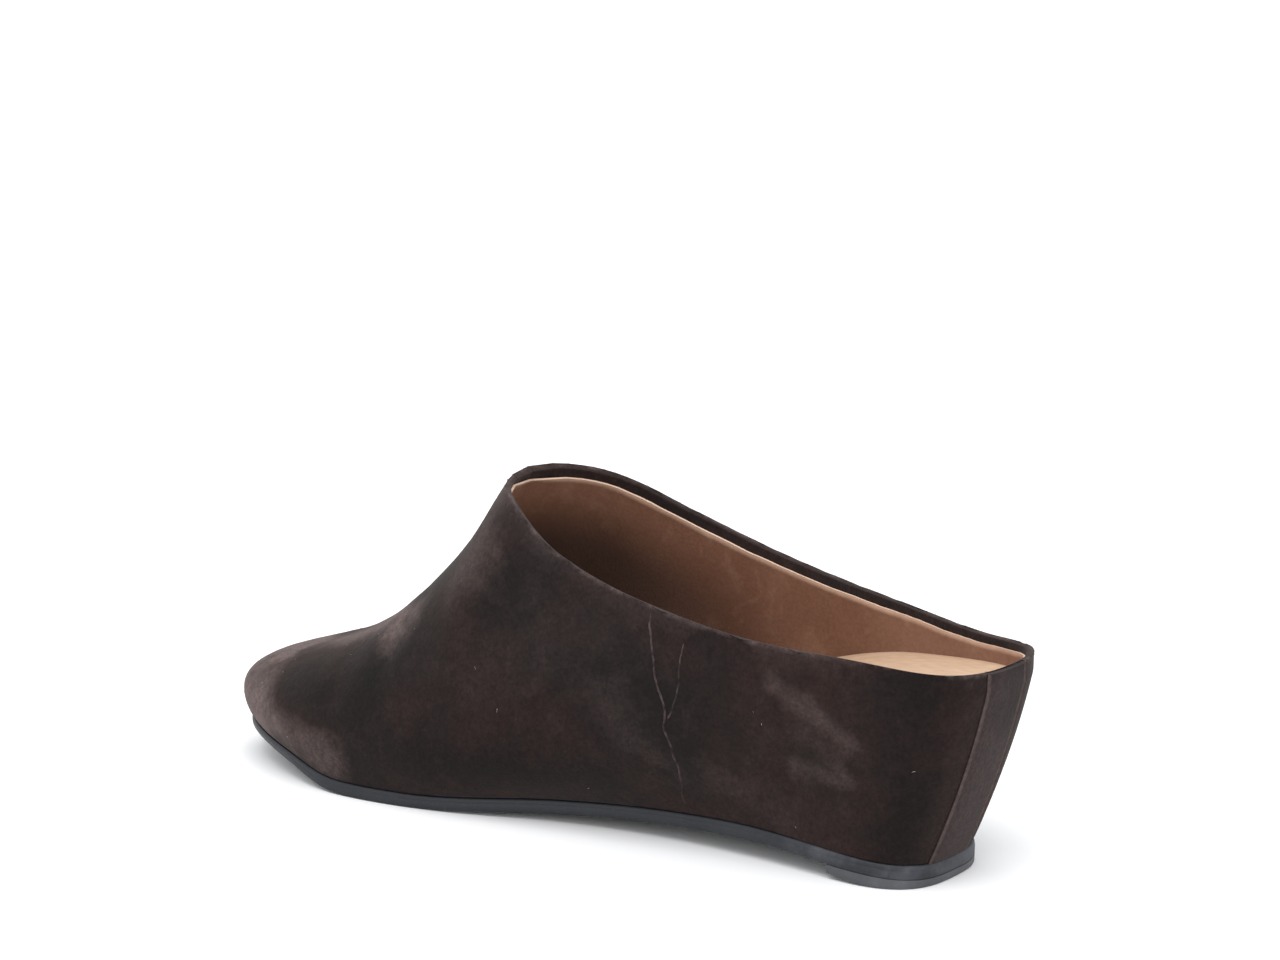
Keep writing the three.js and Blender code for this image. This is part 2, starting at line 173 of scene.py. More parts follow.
def rounded_end(away_from_tip, length, squareness):
    gone = min(max(1 - away_from_tip / length, 0), 1)
    return (1 - gone**squareness) ** (1 / squareness)


print("sections:", len(SECTIONS), "collar rows:", len(COLLAR))

# %% [markdown]
# ## Heights and outlines
#
# The sole's surfaces lie one on the other: rubber on the floor, the upper's edge on the rubber, the wedge's slope
# above that and the footbed on top. Two outlines in plan bound the upper, one at its widest level and one at the
# sole.

# %% Heights and outlines
def outsole_foot(station):
    lift = max(0, last("lift", station)) * (LIFT_THICKNESS + CLEARANCE)
    return lift + max(0, last("spring", station)) * TOE_SPRING


def sole_thickness(station):
    """The sole is thinner towards the toe, where the suede comes down over its side."""
    return OUTSOLE_THICKNESS - max(0, last("spring", station)) * TOE_THINNING


def upper_foot(station):
    return outsole_foot(station) + sole_thickness(station) + CLEARANCE


def insole_foot(station):
    return upper_foot(station) + max(0, last("wedge", station)) * WEDGE_HEIGHT


def footbed(station):
    return insole_foot(station) + INSOLE_THICKNESS


def lift_foot(station):
    """The lift's underside is flat at the back and rises towards its front edge."""
    past = min(max((station / LIFT_REACH - LIFT_FLAT) / (1 - LIFT_FLAT), 0), 1)
    return LIFT_NOSE_RISE * past**2


def outline_point(side, x, length, start, back, inner, outer):
    """A point of an outline in plan from its half widths, its start and how much is left of it near the back."""
    ends = back * rounded_end(length - x, TOE_ROUND, TOE_SQUARENESS)
    inner_half, outer_half = inner * BALL_WIDTH, outer * BALL_WIDTH
    return Vector((start + x, (inner_half - outer_half) / 2 + side * ends * (inner_half + outer_half) / 2))


def belly_point(side, station):
    x = SHOE_LENGTH * station
    return outline_point(side, x, SHOE_LENGTH, 0, rounded_end(x, BACK_ROUND, BACK_SQUARENESS),
                         last("inner", station), last("outer", station))


def sole_point(side, station):
    length = SHOE_LENGTH - HEEL_RAKE - TOE_OVERHANG
    x = length * station
    return outline_point(side, x, length, HEEL_RAKE, rounded_end(x, SOLE_BACK_ROUND, SOLE_BACK_SQUARENESS),
                         last("sole_inner", station), last("sole_outer", station))


def sole_edge(side, station, margin):
    """A point outside the sole's outline by the margin, or inside it where the margin is negative."""
    point = sole_point(side, station)
    if station in (0, 1):
        return point + Vector((margin if station else -margin, 0))
    step = 0.0005
    along = sole_point(side, min(station + step, 1)) - sole_point(side, max(station - step, 0))
    along.normalize()
    return point + Vector((-along.y, along.x)) * side * margin


throat_station = THROAT_REACH / SHOE_LENGTH
throat_rise = last("ridge", throat_station) * INSTEP_HEIGHT
print("throat stands", round(throat_rise, 1), "mm above the footbed")

# %% [markdown]
# ## Ribs of the upper
#
# A rib is the line where a cut across the shoe meets the suede. It rises from the sole through the wall, then
# arches over the foot. Behind the throat it stops at the collar. The same rib can be cut shorter below the collar,
# which gives the leather lining its own neat edge.

# %% Ribs
WALL_POINTS = 20
ARCH_POINTS = 60


def raw_rib(side, station):
    belly, sole = belly_point(side, station), sole_point(side, station)
    middle = (belly_point(1, station).y + belly_point(-1, station).y) / 2
    foot = upper_foot(station)
    belly_height = footbed(station) + last("belly", station) * INSTEP_HEIGHT
    toe_fall = rounded_end(SHOE_LENGTH * (1 - station), TOE_DROP, TOE_SQUARENESS)
    ridge_rise = (last("ridge", station) - last("belly", station)) * INSTEP_HEIGHT * toe_fall
    swell, crown = last("swell", station), last("crown", station)
    points = []
    for i in range(WALL_POINTS + 1):
        t = i / WALL_POINTS
        plan = sole.lerp(belly, t + swell * t * (1 - t))
        points.append(Vector((plan.x, plan.y, foot + (belly_height - foot) * t)))
    top_angle = math.pi / 2
    if station < throat_station:
        collar = follow(COLLAR, "reach", "inner" if side > 0 else "outer", station / throat_station) * throat_rise
        share = (footbed(station) + collar - belly_height) / ridge_rise
        top_angle = math.asin(min(max(share, 0), 1) ** (crown / 2))
    for i in range(1, ARCH_POINTS + 1):
        angle = top_angle * i / ARCH_POINTS
        width = max(0, math.cos(angle)) ** (2 / crown)
        height = math.sin(angle) ** (2 / crown)
        points.append(Vector((belly.x, middle + (belly.y - middle) * width, belly_height + ridge_rise * height)))
    return points


def lengths_along(points):
    lengths = [0]
    for before, point in zip(points, points[1:]):
        lengths.append(lengths[-1] + (point - before).length)
    return lengths


def respaced(points, reach, steps, crowding):
    """The first stretch of a line, up to the reach, with new points that crowd towards its lower end."""
    lengths = lengths_along(points)
    spaced, start = [], 0
    for i in range(steps + 1):
        goal = reach * (i / steps) ** crowding
        while start < len(points) - 2 and lengths[start + 1] < goal:
            start += 1
        span = lengths[start + 1] - lengths[start]
        spaced.append(points[start].lerp(points[start + 1], (goal - lengths[start]) / span if span else 0))
    return spaced


def to_turn(station):
    return math.acos(1 - 2 * station) / math.pi


def stations_between(start, end, steps, crowding=1):
    turns = [to_turn(start) + (to_turn(end) - to_turn(start)) * (1 - (1 - i / steps) ** crowding)
             for i in range(steps + 1)]
    found = [(1 - math.cos(math.pi * turn)) / 2 for turn in turns]
    return [start, *found[1:-1], end]


def station_from_back(distance):
    station, reached, point = 0, 0, belly_point(1, 0)
    while reached < distance:
        station += 1 / 16000
        following = belly_point(1, station)
        reached += (following - point).length
        point = following
    return station


def strap_end(side, ease=0):
    return station_from_back(STRAP_WIDTH / 2 + side * STRAP_SHIFT + ease)


collar_line = []
for end_side in (1, -1):
    for i in range(401):
        collar_line.append(raw_rib(end_side, throat_station * (1 - math.cos(math.pi * i / 400)) / 2)[-1])
collar_tree = KDTree(len(collar_line))
for number, point in enumerate(collar_line):
    collar_tree.insert(point, number)
collar_tree.balance()
print("collar points:", len(collar_line))

# %% [markdown]
# ## Bending a grid
#
# Every skin of this shoe starts as a flat grid that one function bends into place, corner by corner, as a sheet of
# leather is pulled over the last. Skins could be joined from many patches, but a single bent grid keeps its rows
# and columns in line with the seams.

# %% Grid helpers
def bent_grid(bm, columns, rows, place):
    """Adds a grid whose corner (column, row) is moved to place(column, row), given in millimetres."""
    made = bmesh.ops.create_grid(bm, x_segments=columns - 1, y_segments=rows - 1, size=0.5)["verts"]
    for vertex in made:
        column = round((vertex.co.x + 0.5) * (columns - 1))
        row = round((vertex.co.y + 0.5) * (rows - 1))
        vertex.co = (place(column, row) - MIDDLE) * MM
    return made


def close_seams(bm):
    bmesh.ops.remove_doubles(bm, verts=bm.verts, dist=2e-6)
    bmesh.ops.dissolve_degenerate(bm, edges=bm.edges, dist=1e-7)


def open_loops(bm):
    """The edges of a mesh that have one face only, as separate loops."""
    left = {edge for edge in bm.edges if edge.is_boundary}
    loops = []
    while left:
        loop, front = [], [left.pop()]
        while front:
            edge = front.pop()
            loop.append(edge)
            for vertex in edge.verts:
                for other in vertex.link_edges:
                    if other in left:
                        left.remove(other)
                        front.append(other)
        loops.append(loop)
    return loops


def piece_from(bm, name, material, sharp_angle=40, solid=True):
    """Turns a bmesh into an object, with its faces out and only its true corners sharp."""
    if solid:
        bmesh.ops.recalc_face_normals(bm, faces=bm.faces)
    for face in bm.faces:
        face.smooth = True
    for edge in bm.edges:
        if len(edge.link_faces) == 2 and edge.calc_face_angle(0) > math.radians(sharp_angle):
            edge.smooth = False
    mesh = bpy.data.meshes.new(name)
    bm.to_mesh(mesh)
    bm.free()
    made = bpy.data.objects.new(name, mesh)
    bpy.context.collection.objects.link(made)
    made.data.materials.append(material)
    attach(made, "root")
    print(name, len(mesh.polygons), "faces")
    return made


# %% [markdown]
# ## Node helpers
#
# Materials are built from nodes in code. Small helpers keep that readable: they add a node and set its inputs, make
# a group with named sockets, so that several finishes can share an effect, and link a finish to its shader.

# %% Node helpers
def add(tree, kind, inputs=None, **settings):
    """Adds a node. Inputs that are sockets are linked, and all others are set as values."""
    node = tree.nodes.new("ShaderNode" + kind)
    for name, value in settings.items():
        setattr(node, name, value)
    for key, value in (inputs or {}).items():
        if isinstance(value, bpy.types.NodeSocket):
            tree.links.new(value, node.inputs[key])
        else:
            node.inputs[key].default_value = value
    return node


def group(name, inputs, outputs):
    """Starts a node group. Each socket is a name with its type and, for an input, its value."""
    tree = bpy.data.node_groups.new(name, "ShaderNodeTree")
    for socket_name, kind, value in inputs:
        socket = tree.interface.new_socket(socket_name, in_out="INPUT", socket_type="NodeSocket" + kind)
        if value is not None:
            socket.default_value = value
    for socket_name, kind in outputs:
        tree.interface.new_socket(socket_name, in_out="OUTPUT", socket_type="NodeSocket" + kind)
    return tree, tree.nodes.new("NodeGroupInput").outputs, tree.nodes.new("NodeGroupOutput").inputs


def use(tree, group_tree, **inputs):
    node = tree.nodes.new("ShaderNodeGroup")
    node.node_tree = group_tree
    for key, value in inputs.items():
        socket = node.inputs[key.replace("_", " ")]
        if isinstance(value, bpy.types.NodeSocket):
            tree.links.new(value, socket)
        else:
            socket.default_value = value
    return node.outputs


def ramp(tree, value, low, high):
    """0 below low, 1 above high, and smooth between."""
    return add(tree, "MapRange", {"Value": value, "From Min": low, "From Max": high},
               interpolation_type="SMOOTHSTEP").outputs[0]


def mix(tree, share, first, second, blend="MIX"):
    node = add(tree, "Mix", data_type="RGBA", blend_type=blend)
    for index, value in ((0, share), (6, first), (7, second)):
        if isinstance(value, bpy.types.NodeSocket):
            tree.links.new(value, node.inputs[index])
        else:
            node.inputs[index].default_value = value
    return node.outputs[2]


def calc(tree, operation, first, second=0.0):
    return add(tree, "Math", {0: first, 1: second}, operation=operation).outputs[0]


def new_material(name):
    material = bpy.data.materials.new(name)
    material.use_nodes = True
    tree = material.node_tree
    shader = tree.nodes["Principled BSDF"]
    where = tree.nodes.new("ShaderNodeTexCoord").outputs["Object"]
    return material, tree, shader, where


def noise_of(tree, vector, scale, **inputs):
    return add(tree, "TexNoise", {"Vector": vector, "Scale": scale, **inputs}).outputs[0]


def turned_over(tree, value):
    """1 where the value is 0, and 0 where it is 1."""
    return calc(tree, "SUBTRACT", 1.0, value)


def link(tree, output, node, socket):
    tree.links.new(output, node.inputs[socket])


def finish(tree, shader, colour, grain, bump_strength, bump_depth, specular):
    """Links a colour, and the roughness and height of a grain group, to the shader."""
    link(tree, colour, shader, "Base Color")
    link(tree, grain["Roughness"], shader, "Roughness")
    bump = add(tree, "Bump", {"Strength": bump_strength, "Distance": bump_depth, "Height": grain["Height"]})
    link(tree, bump.outputs[0], shader, "Normal")
    shader.inputs["Specular IOR Level"].default_value = specular


# %% [markdown]
# ## Suede
#
# Suede is leather with its fibres raised. Each fibre catches or hides the light by the way it lies, so a hand or a
# brush leaves soft darker and lighter patches. A picture of suede could be wrapped round the shoe, but noise at
# three scales does the same with no picture: wide patches, small mottling, and the nap itself, which also gives
# the bump. Sheen adds the pale bloom at glancing angles.

# %% Suede nap group
nap_tree, nap_in, nap_out = group(
    "Suede nap",
    [("Vector", "Vector", None), ("Dark", "Color", (0.02, 0.013, 0.011, 1)),
     ("Base", "Color", (0.04, 0.025, 0.021, 1)), ("Light", "Color", (0.075, 0.052, 0.045, 1)),
     ("Brush", "Float", 0.0)],
    [("Color", "Color"), ("Roughness", "Float"), ("Height", "Float")],
)
wide = noise_of(nap_tree, nap_in["Vector"], 24, Detail=2, Roughness=0.5)
small = noise_of(nap_tree, nap_in["Vector"], 170, Detail=4, Roughness=0.6)
fibres = noise_of(nap_tree, nap_in["Vector"], 950, Detail=4, Roughness=0.75)
speckle = noise_of(nap_tree, nap_in["Vector"], 420, Detail=2, Roughness=0.5)
shade = mix(nap_tree, ramp(nap_tree, wide, 0.3, 0.62), nap_in["Dark"], nap_in["Base"])
mottling = calc(nap_tree, "MULTIPLY", ramp(nap_tree, small, 0.4, 0.75), 0.06)
shade = mix(nap_tree, mottling, shade, nap_in["Light"])
# Where the strokes' mask is above zero the nap is lighter, and below zero darker. Most of it is brushing and rubbing;
# the strokes at the bend and low on the sides are painted highlight and painted shade.
shade = mix(nap_tree, add(nap_tree, "Clamp", {"Value": nap_in["Brush"]}).outputs[0], shade, nap_in["Light"])
rubbed_and_painted_shade = add(nap_tree, "Clamp", {"Value": calc(nap_tree, "MULTIPLY", nap_in["Brush"], -1.0)}).outputs[0]
shade = mix(nap_tree, rubbed_and_painted_shade, shade, nap_in["Dark"])
for nap_grain, low, high, hollows, tips in (
        (fibres, 0.25, 0.75, (0.66, 0.66, 0.68, 1), (1.36, 1.33, 1.31, 1)),
        (speckle, 0.3, 0.7, (0.9, 0.91, 0.92, 1), (1.1, 1.09, 1.08, 1))):
    nap_light = mix(nap_tree, ramp(nap_tree, nap_grain, low, high), hollows, tips)
    shade = mix(nap_tree, 1.0, shade, nap_light, "MULTIPLY")
nap_roughness = add(nap_tree, "MapRange", {"Value": small, "To Min": 0.8, "To Max": 0.98}).outputs[0]
nap_height = calc(nap_tree, "ADD", calc(nap_tree, "MULTIPLY", fibres, 0.55),
                  calc(nap_tree, "MULTIPLY", speckle, 0.45))
nap_tree.links.new(shade, nap_out["Color"])
nap_tree.links.new(nap_roughness, nap_out["Roughness"])
nap_tree.links.new(nap_height, nap_out["Height"])

# A soft stroke from one point of the shoe to another. Most are brushing marks in the nap; a few are painted highlight
# and painted shade.
stroke_tree, stroke_in, stroke_out = group(
    "Stroke of nap and painted light",
    [("Vector", "Vector", None), ("Start", "Vector", (0, 0, 0)), ("End", "Vector", (0, 0, 0)),
     ("Width", "Float", 0.01), ("Strength", "Float", 1.0), ("Wobble", "Float", 0.5)],
    [("Mask", "Float")],
)


def stroke_vector(operation, inputs, output=0):
    return add(stroke_tree, "VectorMath", inputs, operation=operation).outputs[output]


whole_stroke = stroke_vector("SUBTRACT", {0: stroke_in["End"], 1: stroke_in["Start"]})
from_start = stroke_vector("SUBTRACT", {0: stroke_in["Vector"], 1: stroke_in["Start"]})
share_of_stroke = calc(stroke_tree, "DIVIDE",
                       stroke_vector("DOT_PRODUCT", {0: from_start, 1: whole_stroke}, "Value"),
                       stroke_vector("DOT_PRODUCT", {0: whole_stroke, 1: whole_stroke}, "Value"))
share_of_stroke = add(stroke_tree, "Clamp", {"Value": share_of_stroke}).outputs[0]
nearest_on_stroke = stroke_vector("SCALE", {0: whole_stroke, "Scale": share_of_stroke})
stroke_gap = stroke_vector("DISTANCE", {0: from_start, 1: nearest_on_stroke}, "Value")
stroke_gap = calc(stroke_tree, "DIVIDE", stroke_gap, stroke_in["Width"])
wobbling = calc(stroke_tree, "MULTIPLY", calc(stroke_tree, "SUBTRACT", stroke_in["Wobble"], 0.5), 3.0)
stroke_gap = calc(stroke_tree, "ADD", stroke_gap, wobbling)
on_stroke = turned_over(stroke_tree, ramp(stroke_tree, stroke_gap, -0.2, 1.5))
stroke_tree.links.new(calc(stroke_tree, "MULTIPLY", on_stroke, stroke_in["Strength"]), stroke_out["Mask"])
print("groups:", [tree.name for tree in bpy.data.node_groups])

# %% [markdown]
# ## Where the nap lies differently, with painted highlight and shade
#
# The strokes follow what the picture shows: a lighter toe, two slanting marks on the wedge, a painted highlight at
# the bend below the throat, painted shade low along both sides above the sole, and darker ground between them. Each
# is a soft line from one point of the shoe to another, in millimetres from its middle. They could be painted by hand
# on a map, but a table of lines is short and stays put.

# %% Suede finish
STROKES = (
    ((120, 8, 22), (110, 33, 21), 17, 1.0),
    ((110, -10, 26), (108, 10, 30), 12, 0.7),
    ((101, 38, 16), (72, 42, 13), 9, 0.55),
    ((106, 14, 33), (58, 22, 50), 8, 0.88),
    # Painted highlight: the light line at the bend below the throat.
    ((57, 32, 44), (51, 28, 54), 6, 0.4),
    ((26, 20, 89), (30, 30, 68), 9, 0.3),
    ((27, 16, 92), (4.9, 27.9, 80), 3, 0.16),
    ((-72, 27.5, 52), (-99, 25, 36.5), 4, 0.3),
    ((-76, 25, 30.5), (-107, 23, 27.5), 3.5, 0.26),
    ((-78, 26, 40), (-92, 25, 33), 4, 0.12),
    ((-22, 33, 38), (-33, 29, 20), 8, 0.12),
    ((-52, 27, 22), (-68, 25, 12), 9, 0.11),
    ((20, 36, 44), (-16, 31, 60), 12, 0.06),
    ((-109, 20, 56), (-107, 20, 14), 12, -0.95),
    ((88, 33, 29), (60, 38, 28), 11, -0.95),
    ((-54, 29, 58), (-58, 28, 34), 8, -0.4),
    # Painted shade: the next two lines darken the inner side low down, above the sole and under the wedge's arch.
    ((46, 43, 16), (-18, 33, 14), 14, -0.95),
    ((-24, 31, 8), (-60, 24, 8), 7, -0.7),
    ((94, -24, 26), (74, -36, 16), 9, 0.18),
    ((-60, -28, 50), (-92, -26, 34), 5, 0.18),
    # Painted shade low along the outer side, above the sole.
    ((30, -40, 20), (-30, -34, 16), 10, -0.5),
)

SUEDE_DARK = (0.0068, 0.0052, 0.0054, 1)
SUEDE_BASE = (0.0150, 0.0080, 0.0072, 1)
SUEDE_LIGHT = (0.096, 0.070, 0.066, 1)


def suede_material(name, more_rubbing_and_highlight=None, base=SUEDE_BASE):
    """Suede with its strokes, some of which are painted highlight and painted shade. The last argument takes the tree
    and gives one more mask of lighter nap.
    """
    material, tree, shader, where = new_material(name)
    wobble = noise_of(tree, where, 75, Detail=6, Roughness=0.7)
    # The strokes add up to one mask of brushing and rubbing, with painted highlight at the bend and painted shade low
    # on the sides.
    brushing_and_painted_light = None
    for start, end, width, strength in STROKES:
        mask = use(tree, stroke_tree, Vector=where, Start=[value * MM for value in start],
                   End=[value * MM for value in end], Width=width * MM, Strength=strength, Wobble=wobble)["Mask"]
        brushing_and_painted_light = mask if brushing_and_painted_light is None else calc(tree, "ADD", brushing_and_painted_light, mask)
    if more_rubbing_and_highlight:
        brushing_and_painted_light = calc(tree, "ADD", brushing_and_painted_light, more_rubbing_and_highlight(tree))
    nap = use(tree, nap_tree, Vector=where, Dark=SUEDE_DARK, Base=base, Light=SUEDE_LIGHT, Brush=brushing_and_painted_light)
    finish(tree, shader, nap["Color"], nap, 0.55, 0.0004, 0.06)
    shader.inputs["Sheen Weight"].default_value = 0.1
    shader.inputs["Sheen Roughness"].default_value = 0.55
    shader.inputs["Sheen Tint"].default_value = (0.75, 0.68, 0.65, 1)
    return material


def near_rim(tree):
    """The nap along the cut edge is scuffed lighter."""
    distance = add(tree, "Attribute", attribute_name="from_rim").outputs["Fac"]
    patchy = noise_of(tree, tree.nodes["Texture Coordinate"].outputs["Object"], 180, Detail=4)
    edge = turned_over(tree, ramp(tree, distance, 0.2, 1.3))
    wide_edge = turned_over(tree, ramp(tree, distance, 1.0, 7.0))
    edge = calc(tree, "MULTIPLY", calc(tree, "MULTIPLY", edge, ramp(tree, patchy, 0.3, 0.7)), 0.7)
    return calc(tree, "ADD", edge, calc(tree, "MULTIPLY", wide_edge, 0.08))


suede = suede_material("suede", near_rim)
print("strokes:", len(STROKES))

# %% [markdown]
# ## Ribs all round
#
# The ribs are taken in turn round the shoe, forward on the inner side and back on the outer. Round each end they lie
# close together, where the outline turns most. Two more stand at each side of the strap, where the wall steps down
# into the strap's seat. The wall could be one even grid, but then the step would be a slope.

# %% The ring of ribs
def order_round(stations):
    return [(1, station) for station in stations] + [(-1, station) for station in stations[-2:0:-1]]


def ring_of(stations, steps, crowding, reach_of):
    ring = []
    for side, station in order_round(stations):
        points = raw_rib(side, station)
        ring.append((side, station, respaced(points, reach_of(points, station), steps, crowding)))
    return ring


def tangent(before, here, after):
    """Direction of the line through three points that aren't evenly spaced."""
    back, ahead = here - before, after - here
    if min(back.length, ahead.length) < 1e-5:
        return back + ahead
    return back * (ahead.length / back.length) + ahead * (back.length / ahead.length)


def outward(ring, column, row, closed_from):
    side, station, points = ring[column]
    along = tangent(ring[column - 1][2][row], points[row], ring[(column + 1) % len(ring)][2][row])
    top = len(points) - 1
    if row in (0, top):
        up = points[1] - points[0] if row == 0 else points[top] - points[top - 1]
        if row == top and station >= closed_from and station < 1:
            up = tangent(points[top - 1], points[top], ring[-column % len(ring)][2][top - 1])
    else:
        up = tangent(points[row - 1], points[row], points[row + 1])
    normal = up.cross(along)
    if row == 0:
        normal.z = 0
    return normal.normalized()


def with_normals(ring, closed_from):
    """Every point of the ring with its outward direction, column by column."""
    return [[(point, outward(ring, column, row, closed_from)) for row, point in enumerate(one[2])]
            for column, one in enumerate(ring)]


SEAT_STEP = 0.25
seat_end = {1: strap_end(1, CLEARANCE), -1: strap_end(-1, CLEARANCE)}
past_seat = {1: strap_end(1, CLEARANCE + SEAT_STEP), -1: strap_end(-1, CLEARANCE + SEAT_STEP)}
suede_stations = [
    *stations_between(0, seat_end[-1], 7),
    *stations_between(past_seat[-1], seat_end[1], 5),
    *stations_between(past_seat[1], throat_station, 64, 1.2),
    *stations_between(throat_station, 1, 58)[1:],
]
SUEDE_ROWS = 56
suede_ring = ring_of(suede_stations, SUEDE_ROWS, 1.15, lambda points, station: lengths_along(points)[-1])
suede_skin = with_normals(suede_ring, throat_station)
print("ribs:", len(suede_ring), "points each:", SUEDE_ROWS + 1)

# %% [markdown]
# ## The suede
#
# The upper is one piece of suede over the wedge and the toe. It's made as two skins, the outside and the inside,
# which are bridged along the collar and along the sole, and the cut edge of the collar is rounded. Wear has left
# soft folds where the foot bends and at the sides. Each fold is a line with a width and a depth, and a little noise
# keeps the long walls from looking machined.

# %% Suede upper
SUEDE_THICKNESS = 1.9
SEAT_DEPTH = 0.9

# Start and end in millimetres from the middle, width, and how far the wall comes out (or goes in, below zero)
FOLDS = (
    ((56, 35, 38), (52, 22, 57), 6, -0.45),
    ((52, -20, 59), (55, -36, 42), 7, -0.5),
    ((64, 40, 26), (60, 24, 47), 8, 0.4),
    ((71, 38, 28), (69, 20, 42), 6, -0.35),
    ((64, -22, 46), (70, -38, 26), 7, -0.4),
    ((98, 30, 30), (84, 40, 22), 7, -0.35),
    ((44, 42, 22), (78, 44, 14), 8, 0.35),
    ((-24, 32, 52), (14, 38, 32), 11, -0.5),
    ((-18, 33, 24), (30, 42, 15), 10, -0.45),
    ((22, 24, 84), (30, 30, 60), 9, 0.4),
    ((8, 30, 74), (18, 34, 56), 7, -0.4),
    ((-68, 28, 54), (-94, 25, 39), 5, -0.35),
    ((-64, 28, 46), (-84, 26, 34), 6, 0.3),
    ((-73, 25, 30), (-103, 23, 28), 4.5, -0.3),
    ((-20, -36, 50), (20, -40, 30), 10, -0.5),
    ((-70, -30, 48), (-96, -27, 36), 6, -0.35),
    ((-60, -27, 24), (-92, -25, 26), 6, -0.3),
    ((20, -26, 82), (28, -34, 58), 8, -0.4),
)
folds = [(Vector(start), Vector(end), width, rise) for start, end, width, rise in FOLDS]


def fold_at(point):
    """How far the suede comes out at a point, given in millimetres from the shoe's middle."""
    out = 0
    for start, end, width, rise in folds:
        run = end - start
        share = min(max((point - start).dot(run) / run.length_squared, 0), 1)
        gap = (point - start - run * share).length / width
        if gap < 2:
            out += rise * math.exp(-2.2 * gap * gap)
    out += 0.3 * noise.noise(point * 0.045) + 0.09 * noise.noise(point * 0.2 + Vector((7, 3, 5)))
    return out


def suede_outside(column, row):
    side, station, points = suede_ring[column % len(suede_ring)]
    point, normal = suede_skin[column % len(suede_ring)][row]
    height = min(1, (point.z - points[0].z) / 5)
    if station <= seat_end[side]:
        return point - normal * SEAT_DEPTH
    away_from_strap = min(1, (point.x - 4) / 20) if station < 0.2 else 1
    return point + normal * fold_at(point - MIDDLE) * height * away_from_strap


def suede_inside(column, row):
    point, normal = suede_skin[column % len(suede_ring)][row]
    return point - normal * SUEDE_THICKNESS


def shell_of(outside, inside, columns, rows, rim, rim_segments):
    """A hollow piece from its outside and its inside, joined at the sole and at a rounded rim."""
    bm = bmesh.new()
    for place in (outside, inside):
        bent_grid(bm, columns, rows, place)
    close_seams(bm)
    loops = sorted(open_loops(bm), key=lambda loop: sum(edge.verts[0].co.z for edge in loop) / len(loop))
    feet, rims = loops[:2], loops[2:]
    rim_edges = rims[0] + rims[1]
    bmesh.ops.bridge_loops(bm, edges=feet[0] + feet[1])
    bmesh.ops.bridge_loops(bm, edges=rim_edges)
    bmesh.ops.bevel(bm, geom=rim_edges, affect="EDGES", offset=rim * MM, offset_type="OFFSET",
                    segments=rim_segments, profile=0.5, material=-1, clamp_overlap=True)
    return bm, len(loops)


def mark_distance(bm, name, distance):
    layer = bm.verts.layers.float.new(name)
    for vertex in bm.verts:
        vertex[layer] = distance(vertex.co / MM + MIDDLE)


suede_bm, suede_loops = shell_of(suede_outside, suede_inside, len(suede_ring) + 1, SUEDE_ROWS + 1, 0.7, 3)
mark_distance(suede_bm, "from_rim", lambda point: collar_tree.find(point)[2])
suede_upper = piece_from(suede_bm, "suede_upper", suede, 50)
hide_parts("upper")
print("open edges joined:", suede_loops)

# %% [markdown]
# ## Leather
#
# Smooth leather has fine pores that run together into creases, and a soft gloss. The pores are the cells of a
# Voronoi pattern, and noise makes the tan deeper and paler where hands and feet have rubbed it. Lining and footbed
# share this group, each with its own colours.

# %% Leather grain group and finishes
grain_tree, grain_in, grain_out = group(
    "Leather grain",
    [("Vector", "Vector", None), ("Deep", "Color", (0.3, 0.18, 0.1, 1)), ("Base", "Color", (0.5, 0.3, 0.2, 1)),
     ("Pale", "Color", (0.7, 0.5, 0.4, 1)), ("Fineness", "Float", 900.0)],
    [("Color", "Color"), ("Roughness", "Float"), ("Height", "Float")],
)
clouds = noise_of(grain_tree, grain_in["Vector"], 22, Detail=4, Roughness=0.55)
rubs = noise_of(grain_tree, grain_in["Vector"], 95, Detail=3, Distortion=1.2)
pores = add(grain_tree, "TexVoronoi", {"Vector": grain_in["Vector"], "Scale": grain_in["Fineness"]},
            feature="SMOOTH_F1").outputs["Distance"]
tone = mix(grain_tree, ramp(grain_tree, clouds, 0.35, 0.65), grain_in["Deep"], grain_in["Base"])
tone = mix(grain_tree, calc(grain_tree, "MULTIPLY", ramp(grain_tree, rubs, 0.5, 0.8), 0.5), tone, grain_in["Pale"])
pore_light = mix(grain_tree, ramp(grain_tree, pores, 0.1, 0.7), (1.03, 1.03, 1.03, 1), (0.9, 0.89, 0.88, 1))
tone = mix(grain_tree, 1.0, tone, pore_light, "MULTIPLY")
grain_roughness = add(grain_tree, "MapRange", {"Value": rubs, "To Min": 0.62, "To Max": 0.45}).outputs[0]
grain_height = calc(grain_tree, "SUBTRACT", calc(grain_tree, "MULTIPLY", clouds, 0.4), pores)
grain_tree.links.new(tone, grain_out["Color"])
grain_tree.links.new(grain_roughness, grain_out["Roughness"])
grain_tree.links.new(grain_height, grain_out["Height"])


